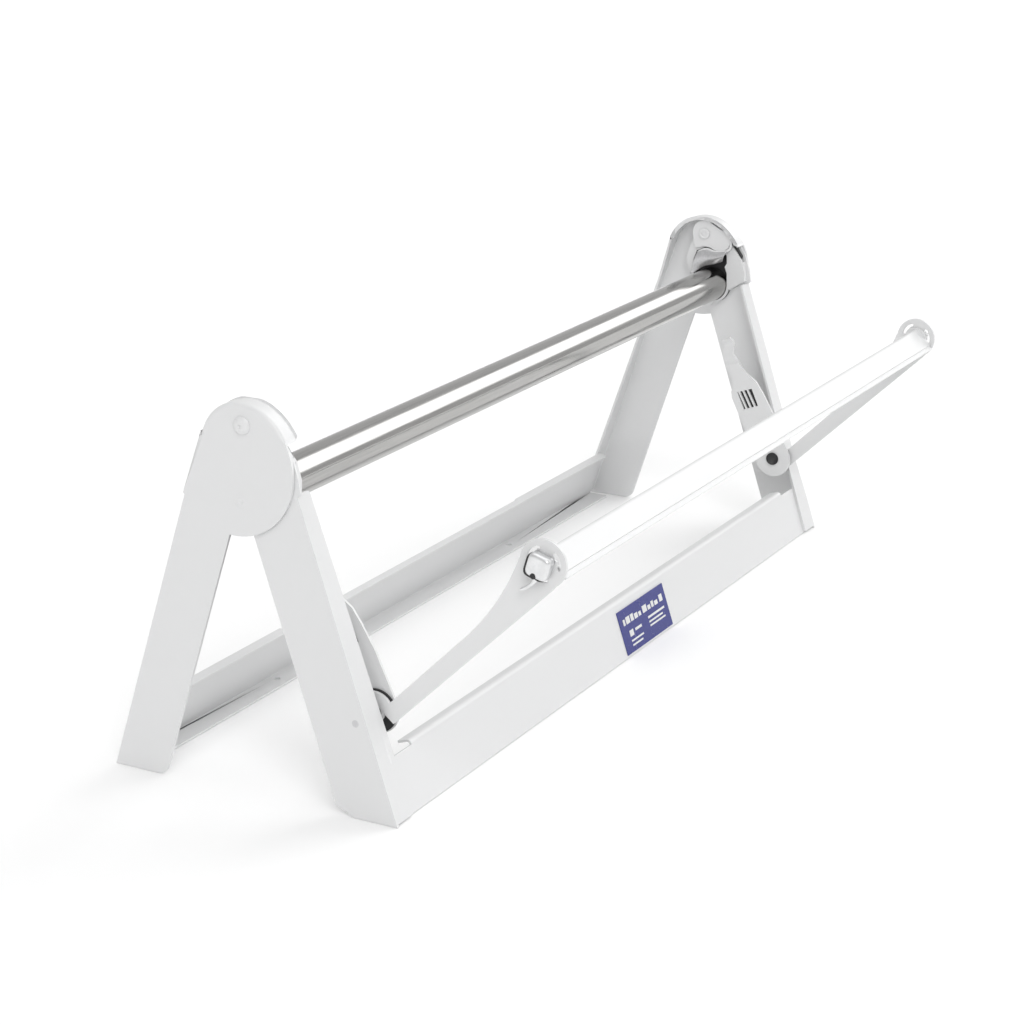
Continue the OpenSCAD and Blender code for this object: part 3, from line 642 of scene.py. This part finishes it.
def swept(name, path, radii, sides=14):
    """Round bar along a path: point = path + r (cos a N + sin a B), N square to the path and to X.

    The first and last rings have no radius, which closes the bar.
    """
    tangent = np.gradient(path, axis=0)
    tangent /= np.linalg.norm(tangent, axis=1, keepdims=True)
    across_path = np.cross(tangent, (1.0, 0.0, 0.0))
    across_path /= np.linalg.norm(across_path, axis=1, keepdims=True)
    third = np.cross(across_path, tangent)
    cos, sin = arc(0.0, 360.0, sides + 1)
    ring = across_path[:, None] * cos[None, :-1, None] + third[:, None] * sin[None, :-1, None]
    points = path[:, None] + np.asarray(radii)[:, None, None] * ring
    ends = [np.repeat(path[k:k + 1, None], sides, 1) for k in (0, -1)]
    return grid_mesh(name, np.concatenate([ends[0], points, ends[1]]), closed_v=True)


def placed(origin, sign, x, flat):
    """Points (x, y, z) from millimetres in the plane at that distance from the middle, on one side."""
    flat = np.asarray(flat, float) * MM
    x = np.broadcast_to(np.asarray(x, float) * MM * sign, flat.shape[:-1])
    return np.stack([x, origin.y + flat[..., 0], origin.z + flat[..., 1]], -1)


def up_leg(points):
    """Turns (distance up the front leg, distance to its rear) into (y, z): h (sin, cos) + o (cos, -sin)."""
    h, o = np.asarray(points, float).T
    sin, cos = LATCH_LEAN
    return np.stack([h * sin + o * cos, h * cos - o * sin], -1)


def between(first, second, columns):
    """Ruled grid from one curve to another: point = (1 - t) first + t second."""
    t = np.linspace(0.0, 1.0, columns)[None, :, None]
    return np.asarray(first)[:, None] * (1 - t) + np.asarray(second)[:, None] * t


def thick(obj, thickness, offset=0.0):
    """Gives an open surface its sheet thickness."""
    wall = obj.modifiers.new("thickness", "SOLIDIFY")
    wall.thickness = thickness
    wall.offset = offset


# ---------------------------------------------------------------- operators
class RACK_OT_legs(bpy.types.Operator):
    """Rear and front legs with rounded folds"""
    bl_idname = "rack.legs"
    bl_label = "Legs"

    def execute(self, context):
        pivot, stop, arm = centre("pivot_rivets").z, centre("stop_pins").z, centre("arm_studs").z
        buttons = [v.co for v in NODES["flush_rivets"].data.vertices]
        heights = sorted({round(b.z, 3) for b in buttons})
        groups = np.split(np.array(heights), np.where(np.diff(heights) > 0.0035)[0] + 1)
        middles = [level(float(g.min() + g.max()) / 2) for g in groups]
        rear_cuts = [level(pivot), level(stop)]
        front_cuts = [level(pivot), level(stop), level(arm)] + middles
        for side, _ in SIDES:
            sheet_piece("rear_leg_" + side, (1, 0, 0), cuts=rear_cuts)
            sheet_piece("front_leg_" + side, (1, 0, 0), cuts=front_cuts)
        return {"FINISHED"}


class RACK_OT_rails(bpy.types.Operator):
    """Rear rail, front panel and lower rail"""
    bl_idname = "rack.rails"
    bl_label = "Rails and panel"

    def execute(self, context):
        for node in ("rear_rail", "front_panel", "swing_rail"):
            cuts = [across(s * SCREW_PITCH / 2) for s in (-1, 1)] if node == "rear_rail" else ()
            sheet_piece(node, along=0.25, sheet=0.0016, cuts=cuts)
        return {"FINISHED"}


class RACK_OT_small(bpy.types.Operator):
    """Small sheet pieces, fasteners and mouldings"""
    bl_idname = "rack.small"
    bl_label = "Small pieces"

    def execute(self, context):
        for side, _ in SIDES:
            pivot = centre("pivot_rivets").z
            arm_cuts = [level(centre("arm_studs").z), level(centre("disc_bolts").z)]
            sheet_piece("bearing_plate_" + side, cuts=[level(pivot), level(centre("hanging_rail").z)])
            sheet_piece("keeper_" + side, cuts=[level(pivot)])
            latch_window = [level(centre("arm_studs").z + h * MM) for h in LATCH_WINDOW_LEVELS]
            stud = centre("arm_studs")
            lean = Vector((0.0, *LATCH_LEAN))
            end = (Vector((0.0, stud.y, stud.z)) + lean * LATCH_NECK * MM, lean)
            sheet_piece("latch_" + side, cuts=[arm_cuts[0]] + latch_window, trim=end)
            sheet_piece("swing_arm_" + side, cuts=arm_cuts)
            # black on the rail liners and arm pivot spacers: moulded parts whose black also stands in as
            # painted shade for the dark gaps at the rail ends and arm pivots
            for node in ("rail_liner_", "pivot_spacer_"):
                dress(node + side, black_nylon_and_shade(), 0.0003)
        dress("rail_plugs", black_nylon_and_shade(), 0.0002)
        dress("arm_studs", rivet_steel())
        for node in ("pivot_rivets", "stop_pins", "flush_rivets"):
            dress(node, white_coat())
        for node in ("disc_washers", "disc_bolts"):
            dress(node, zinc(), 0.0002)
        dress("label_plate", label_film())
        return {"FINISHED"}


class RACK_OT_latch_tabs(bpy.types.Operator):
    """Waved thumb tabs of the latches, and black sheets behind their louvred windows as painted shade"""
    bl_idname = "rack.latch_tabs"
    bl_label = "Latch tabs"

    def execute(self, context):
        stud = centre("arm_studs")
        for side, sign in SIDES:
            node = "latch_" + side
            outer = max(abs(c.x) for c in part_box(node)) / MM
            flat = between(smooth(up_leg(TAB_REAR), 28), smooth(up_leg(TAB_FRONT), 28), 12)
            s = np.linspace(0.0, 1.0, 28)[:, None]
            push = TAB_WAVE * np.sin(2 * np.pi * s) * np.minimum(1.0, 4 * s) + TAB_LEAN * s ** 2
            x = outer - SHEET_THIN / MM / 2 - push + np.zeros((1, 12))
            tab = closed_object("thumb_tab_" + side, [grid_mesh("tab", placed(stud, sign, x, flat))])
            thick(tab, SHEET_THIN)
            finish_piece(tab, white_coat(), BODY_OF[node], (), 0.0003)
            # thin black sheet just outside each latch window: painted shade in the louvre slots
            corners = up_leg(LOUVRE_SHADE_CORNERS)
            sheet = between(np.linspace(corners[0], corners[1], 5), np.linspace(corners[3], corners[2], 5), 5)
            back = closed_object("louvre_painted_shade_" + side, [grid_mesh("back", placed(
                stud, sign, np.full((5, 5), outer + LOUVRE_SHADE_GAP), sheet))])
            thick(back, 0.0002)
            finish_piece(back, black_nylon_and_shade(), BODY_OF[node])
        return {"FINISHED"}


class RACK_OT_keeper_lips(bpy.types.Operator):
    """Rolled lips of the keepers and the curved aprons below them"""
    bl_idname = "rack.keeper_lips"
    bl_label = "Keeper lips"

    def execute(self, context):
        rail = centre("hanging_rail")
        for side, sign in SIDES:
            node = "keeper_" + side
            inner = min(abs(c.x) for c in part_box(node)) / MM
            line = smooth(LIP_LINE, 60)
            radii = LIP_R * MM * np.clip(np.linspace(0.3, 12.0, 60), 0.0, 1.0)
            radii = np.minimum(radii, radii[::-1])
            lip = swept("lip", placed(rail, sign, np.full(60, inner - 0.1), line), radii)
            lip = closed_object("keeper_lip_" + side, [lip])
            finish_piece(lip, white_coat(), BODY_OF[node])
            flat = between(smooth(APRON_TOP, 30), smooth(APRON_LOW, 30), 16)
            t = np.linspace(0.0, 1.0, 16)[None, :]
            bulge = APRON_BULGE * np.sin(np.pi * t ** 0.8) + np.zeros((30, 1))
            points = placed(rail, sign, inner - 0.3 - bulge, flat)
            apron = closed_object("keeper_apron_" + side, [grid_mesh("apron", points)])
            thick(apron, 0.0007)
            finish_piece(apron, rivet_steel(), BODY_OF["bearing_plate_" + side])
        return {"FINISHED"}


class RACK_OT_nuts(bpy.types.Operator):
    """Pressed square cup nuts with a lever, with black pieces beside and on them as painted shade"""
    bl_idname = "rack.nuts"
    bl_label = "Cup nuts"

    def execute(self, context):
        bolt = centre("disc_bolts")
        for side, sign in SIDES:
            node = "wing_nut_" + side
            reach = sorted(abs(c.x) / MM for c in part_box(node))
            cup = self.cup("cup", bolt, sign, reach, CUP_OPENING, np.array(CUP_ROWS), (0.0, 0.0))
            cup = closed_object("cup_nut_" + side, [cup])
            thick(cup, 0.0006, -1.0)
            finish_piece(cup, zinc(), BODY_OF[node], [node])
            # lower black copy of the cup, shifted so a black crescent shows beside it: painted shadow
            rows = np.array(CUP_ROWS) * (SHADOW_DISC_HEIGHT, 1.0)
            gap = self.cup("gap", bolt, sign, reach, None, rows, SHADOW_DISC_SHIFT)
            # small black dome where the lever meets the cup: painted shade of the opening
            angle = np.radians(np.arange(48) * 7.5)
            ring = np.stack([np.cos(angle), np.sin(angle)], -1)
            dome = np.array(SHADE_DOT_ROWS)
            flat = np.array(SHADE_DOT_PLACE) + SHADE_DOT_R * dome[:, 1, None, None] * ring[None]
            height = reach[1] - 0.35 + 0.3 * dome[:, :1] + np.zeros((1, 48))
            shade_dot = grid_mesh("shade_dot", placed(bolt, sign, height, flat), closed_v=True)
            gap = closed_object("nut_gap_" + side, [gap, shade_dot])
            finish_piece(gap, black_nylon_and_shade(), BODY_OF[node])
            line = smooth(LEVER_LINE, 30)
            height = reach[0] + (reach[1] - reach[0]) * np.linspace(0.62, 0.42, 30)
            radii = LEVER_R * MM * np.linspace(1.0, 0.62, 30) * np.clip(np.linspace(7.0, 0.35, 30), 0.0, 1.0)
            bar = swept("lever", placed(bolt, sign, height, line), radii)
            lever = closed_object("nut_lever_" + side, [bar])
            finish_piece(lever, zinc(), BODY_OF[node])
        return {"FINISHED"}

    def cup(self, name, bolt, sign, reach, opening, rows, shift):
        """Square cup: |y|^n + |z|^n = (half * s)^n at each height h, for the rows (h, s), turned a little."""
        count = 96
        angle = np.radians(np.arange(count) * 360.0 / count)
        cos, sin = np.cos(angle), np.sin(angle)
        round_off = (np.abs(cos) ** CUP_POWER + np.abs(sin) ** CUP_POWER) ** (-1 / CUP_POWER)
        radius = CUP_HALF * rows[:, 1:] * round_off[None]
        turn = math.radians(CUP_TURN)
        y = radius * (cos * math.cos(turn) - sin * math.sin(turn))
        z = radius * (cos * math.sin(turn) + sin * math.cos(turn))
        height = reach[1] - reach[0] - 2 * CUP_CLEAR
        x = reach[0] + CUP_CLEAR + height * rows[:, :1] + np.zeros_like(y)
        points = placed(bolt, sign, x, np.stack([y + shift[0], z + shift[1]], -1))
        mesh = grid_mesh(name, points, closed_v=True)
        if opening is None:
            return mesh
        shape = bmesh.new()
        shape.from_mesh(mesh)
        shape.faces.ensure_lookup_table()
        row, column = np.divmod(np.arange(len(shape.faces)), count)
        degrees = (column * 360.0 / count + CUP_TURN + 180.0) % 360.0 - 180.0
        gone = (degrees > opening[0]) & (degrees < opening[1]) & (row < opening[2])
        bmesh.ops.delete(shape, geom=[shape.faces[i] for i in np.flatnonzero(gone)], context="FACES")
        shape.to_mesh(mesh)
        shape.free()
        return mesh


class RACK_OT_label_print(bpy.types.Operator):
    """Plain pale bars printed on the label"""
    bl_idname = "rack.label_print"
    bl_label = "Label print"

    def execute(self, context):
        mesh = NODES["label_plate"].data
        best = max(mesh.polygons, key=lambda f: f.area * (f.normal.y < 0))
        normal = np.array(best.normal)
        up = np.cross(normal, (1.0, 0.0, 0.0))
        up *= np.sign(up[2])
        points = np.empty(len(mesh.vertices) * 3)
        mesh.vertices.foreach_get("co", points)
        points = points.reshape(-1, 3)
        low_x, high_x = points[:, 0].min(), points[:, 0].max()
        low_v, high_v = (points @ up).min(), (points @ up).max()
        face = (points @ normal).max() + LABEL_INK
        bars = np.array(LABEL_BARS)
        u = low_x + (high_x - low_x) * bars[:, [0, 1, 1, 0]]
        v = low_v + (high_v - low_v) * bars[:, [2, 2, 3, 3]]
        corners = v[..., None] * up + face * normal
        corners[..., 0] += u
        quads = np.arange(len(bars) * 4).reshape(-1, 4)
        ink = bpy.data.meshes.new("label_print")
        ink.from_pydata(corners.reshape(-1, 3).tolist(), [], quads.tolist())
        obj = closed_object("label_print", [ink])
        thick(obj, 0.00006)
        finish_piece(obj, white_coat(), BODY_OF["label_plate"])
        return {"FINISHED"}


class RACK_OT_round_rail(bpy.types.Operator):
    """Round hanging rail: a polished tube with softened ends"""
    bl_idname = "rack.round_rail"
    bl_label = "Round rail"

    def execute(self, context):
        low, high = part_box("hanging_rail")
        outer = (high.z - low.z) / 2
        inner = outer - RAIL_WALL
        round_off = 0.0004
        middle = centre("hanging_rail")
        cos, sin = arc(90.0, 0.0, 5)
        tip = high.x - round_off
        end = [(tip + round_off * s, outer - round_off + round_off * c) for c, s in zip(sin, cos)]
        back = [(tip + round_off * c, inner + round_off - round_off * s) for c, s in zip(cos[::-1], sin)]
        stations = np.linspace(low.x + 0.01, high.x - 0.01, 25)
        left = [(-x, r) for x, r in end[::-1]]
        profile = left + [(x, outer) for x in stations] + end + back
        profile += [(x, inner) for x in stations[::-1]] + [(-x, r) for x, r in back[::-1]]
        mesh = turned("round_rail", (middle.y, middle.z), profile, 128)
        rail = closed_object("round_rail", [mesh])
        finish_piece(rail, rail_steel(), "round_rail", ["hanging_rail"])
        return {"FINISHED"}


class RACK_OT_stage(bpy.types.Operator):
    """Floor, soft light and camera"""
    bl_idname = "rack.stage"
    bl_label = "Stage"

    def execute(self, context):
        stage = context.scene.rack_stage
        grid = np.linspace(-FLOOR_HALF, FLOOR_HALF, 41)
        gx, gy = np.meshgrid(grid, grid)
        verts = np.stack([gx.ravel(), gy.ravel(), np.full(gx.size, -0.0002)], 1)
        n = len(grid)
        index = np.arange(n * n).reshape(n, n)
        quads = np.stack([index[:-1, :-1], index[:-1, 1:], index[1:, 1:], index[1:, :-1]], -1).reshape(-1, 4)
        mesh = bpy.data.meshes.new("floor")
        mesh.from_pydata(verts.tolist(), [], quads.tolist())
        floor = link("floor", mesh)
        mat, tree, bsdf = shader("floor")
        coord = tree.nodes.new("ShaderNodeTexCoord").outputs["Object"]
        tone = noise(tree, coord, 0.8, 3.0, 0.5)
        base = mix_color(tree, tone, tuple(stage.floor_color), tuple(c * 0.99 for c in stage.floor_color))
        tree.links.new(base, bsdf.inputs["Base Color"])
        bsdf.inputs["Roughness"].default_value = 0.7
        bsdf.inputs["Specular IOR Level"].default_value = 0.2
        mesh.materials.append(mat)
        context.scene.view_settings.view_transform = "Standard"
        world = bpy.data.worlds.new("studio")
        context.scene.world = world
        world.use_nodes = True
        self.sky(world.node_tree, stage.fill)
        self.soft_light("key", *KEY_LIGHT)
        self.soft_light("top", *TOP_LIGHT)
        camera = bpy.data.objects.new("camera", bpy.data.cameras.new("camera"))
        context.scene.collection.objects.link(camera)
        camera.location = CAMERA_PLACE
        camera.rotation_euler = Vector(CAMERA_AIM).to_track_quat("-Z", "Y").to_euler()
        camera.data.lens = stage.lens
        camera.data.sensor_width = SENSOR
        camera.data.clip_start = 0.05
        camera.data.clip_end = 100.0
        context.scene.camera = camera
        return {"FINISHED"}

    def sky(self, tree, fill):
        """Even pale surroundings with one bright window, which the polished rail mirrors as a band.

        The window is where the direction looked at is far along +X, a little up and to the front:
        level = 1 + (window - 1) * step(x) * step(z) * step(-y), each step a short linear ramp.
        """
        back = tree.nodes["Background"]
        back.inputs["Color"].default_value = (1.0, 1.0, 1.0, 1.0)
        direction = tree.nodes.new("ShaderNodeTexCoord").outputs["Generated"]
        split = tree.nodes.new("ShaderNodeSeparateXYZ")
        tree.links.new(direction, split.inputs[0])
        mask = None
        for axis, low, high in WINDOW_EDGES:
            step = ramp(tree, split.outputs[axis], low, high)
            mask = step if mask is None else math_node(tree, "MULTIPLY", mask, step)
        level = math_node(tree, "ADD", math_node(tree, "MULTIPLY", mask, WINDOW_LEVEL - 1.0), 1.0)
        tree.links.new(math_node(tree, "MULTIPLY", level, fill), back.inputs["Strength"])

    def soft_light(self, name, toward, spread, power):
        """Broad distant light from one direction; spread is its width in degrees."""
        lamp = bpy.data.lights.new(name, "SUN")
        lamp.angle = math.radians(spread)
        lamp.energy = power
        obj = bpy.data.objects.new(name, lamp)
        bpy.context.scene.collection.objects.link(obj)
        obj.rotation_euler = (-Vector(toward)).to_track_quat("-Z", "Y").to_euler()


class RACK_PT_panel(bpy.types.Panel):
    """Lists the rack's pieces"""
    bl_label = "Rack"
    bl_space_type = "VIEW_3D"
    bl_region_type = "UI"
    bl_category = "Rack"

    def draw(self, context):
        for operator in OPERATORS:
            self.layout.operator(operator.bl_idname)


SETTINGS = {"rack_sheet": RackSheetSettings, "rack_coat": RackCoatSettings, "rack_metal": RackMetalSettings,
            "rack_stage": RackStageSettings}
OPERATORS = (RACK_OT_legs, RACK_OT_rails, RACK_OT_small, RACK_OT_latch_tabs, RACK_OT_keeper_lips,
             RACK_OT_nuts, RACK_OT_label_print, RACK_OT_round_rail, RACK_OT_stage)


def register():
    for cls in (*SETTINGS.values(), *OPERATORS, RACK_PT_panel):
        bpy.utils.register_class(cls)
    for name, cls in SETTINGS.items():
        setattr(bpy.types.Scene, name, PointerProperty(type=cls))


def unregister():
    for name in SETTINGS:
        delattr(bpy.types.Scene, name)
    for cls in reversed((*SETTINGS.values(), *OPERATORS, RACK_PT_panel)):
        bpy.utils.unregister_class(cls)


def main():
    register()
    for operator in OPERATORS:
        name = operator.bl_idname.split(".")[1]
        if getattr(bpy.ops.rack, name)() != {"FINISHED"}:
            raise RuntimeError(name + " did not finish")
    bpy.context.view_layer.update()


if __name__ == "__main__":
    main()
